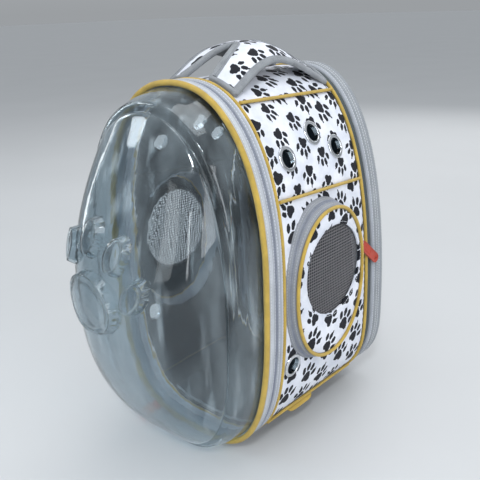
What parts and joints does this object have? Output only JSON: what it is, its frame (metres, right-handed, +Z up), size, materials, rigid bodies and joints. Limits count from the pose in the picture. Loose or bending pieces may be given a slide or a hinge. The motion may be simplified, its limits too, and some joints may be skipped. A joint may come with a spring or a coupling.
{
  "type": "bubble pet carrier backpack",
  "caption": "Upright pet carrier backpack with a clear moulded bubble front, zipped oval mesh windows, eyelets, top handle and shoulder straps.",
  "frame": {"origin": "middle of the footprint's box, on the floor", "axes": "+Z up, the bubble faces -Y, +X to the right of someone who looks at the bubble"},
  "size_m": [0.254, 0.392, 0.4377],
  "materials": {
    "paw_cloth": "white woven cloth with a black paw print pattern",
    "grey_tape": "light grey webbing tape with a coil zip",
    "dark_tape": "dark grey-green tape",
    "yellow_piping": "mustard yellow piping cloth",
    "grey_lining": "dark slate lining cloth",
    "window_net": "dark grey net",
    "eyelet_metal": "polished metal",
    "red_pull": "brick red moulded pull",
    "orange_pull": "orange moulded pull",
    "grey_webbing": "mid grey binding and webbing",
    "dark_plastic": "dark grey moulded plastic",
    "clear_bubble": "clear moulded plastic"
  },
  "bodies": {
    "carrier": {"upper_side_panel_right": "paw_cloth", "upper_side_panel_left": "paw_cloth", "lower_side_panel_right": "paw_cloth", "lower_side_panel_left": "paw_cloth", "top_panel": "paw_cloth", "window_panel_right": "paw_cloth", "window_panel_left": "paw_cloth", "handle_sheet": "paw_cloth", "front_zip_band": "grey_tape", "rear_rim_band": "grey_tape", "window_zip_wall_right": "grey_tape", "window_zip_wall_left": "grey_tape", "rear_groove_band": "dark_tape", "front_piping": "yellow_piping", "front_thin_piping": "yellow_piping", "rear_thin_piping": "yellow_piping", "window_piping_right": "yellow_piping", "window_piping_left": "yellow_piping", "base_tab_right": "yellow_piping", "base_tab_left": "yellow_piping", "base_seam_piping_right": "yellow_piping", "base_seam_piping_left": "yellow_piping", "middle_seam_piping_right": "yellow_piping", "middle_seam_piping_left": "yellow_piping", "top_seam_piping_right": "yellow_piping", "top_seam_piping_left": "yellow_piping", "base_panel": "grey_lining", "floor_mat": "grey_lining", "window_mesh_right": "window_net", "window_mesh_left": "window_net", "eyelet_low_right": "eyelet_metal", "eyelet_low_left": "eyelet_metal", "eyelet_front_right": "eyelet_metal", "eyelet_front_left": "eyelet_metal", "eyelet_middle_right": "eyelet_metal", "eyelet_middle_left": "eyelet_metal", "eyelet_rear_right": "eyelet_metal", "eyelet_rear_left": "eyelet_metal", "window_slider_right": "eyelet_metal", "window_slider_left": "eyelet_metal", "bubble_slider": "eyelet_metal", "back_panel": "grey_webbing", "shoulder_strap_right": "grey_webbing", "shoulder_strap_left": "grey_webbing", "strap_webbing_right": "grey_webbing", "strap_webbing_left": "grey_webbing", "handle_binding_front": "grey_webbing", "handle_binding_rear": "grey_webbing", "handle_binding_right": "grey_webbing", "handle_binding_left": "grey_webbing", "foot_front_right": "dark_plastic", "foot_front_left": "dark_plastic", "foot_rear_right": "dark_plastic", "foot_rear_left": "dark_plastic", "strap_adjuster_right": "dark_plastic", "strap_adjuster_left": "dark_plastic", "bubble_shell": "clear_bubble"},
    "pull_tab_right": {"window_pull_tab_right": "red_pull"},
    "pull_tab_left": {"window_pull_tab_left": "red_pull"},
    "pull_tab_bubble": {"bubble_pull_tab": "orange_pull"}
  },
  "joints": [
    {"name": "pull_tab_right_swing", "type": "hinge", "parent": "carrier", "child": "pull_tab_right", "pos_m": [0.10997, 0.10023, 0.21005], "axis": [1, 0, 0], "range_deg": [-35, 110]},
    {"name": "pull_tab_left_swing", "type": "hinge", "parent": "carrier", "child": "pull_tab_left", "pos_m": [-0.10997, 0.10023, 0.21005], "axis": [1, 0, 0], "range_deg": [-35, 110]},
    {"name": "bubble_tab_swing", "type": "hinge", "parent": "carrier", "child": "pull_tab_bubble", "pos_m": [-0.06199, -0.05887, 0.01148], "axis": [-0.4407, 0, -0.8977], "range_deg": [-10, 90]}
  ]
}
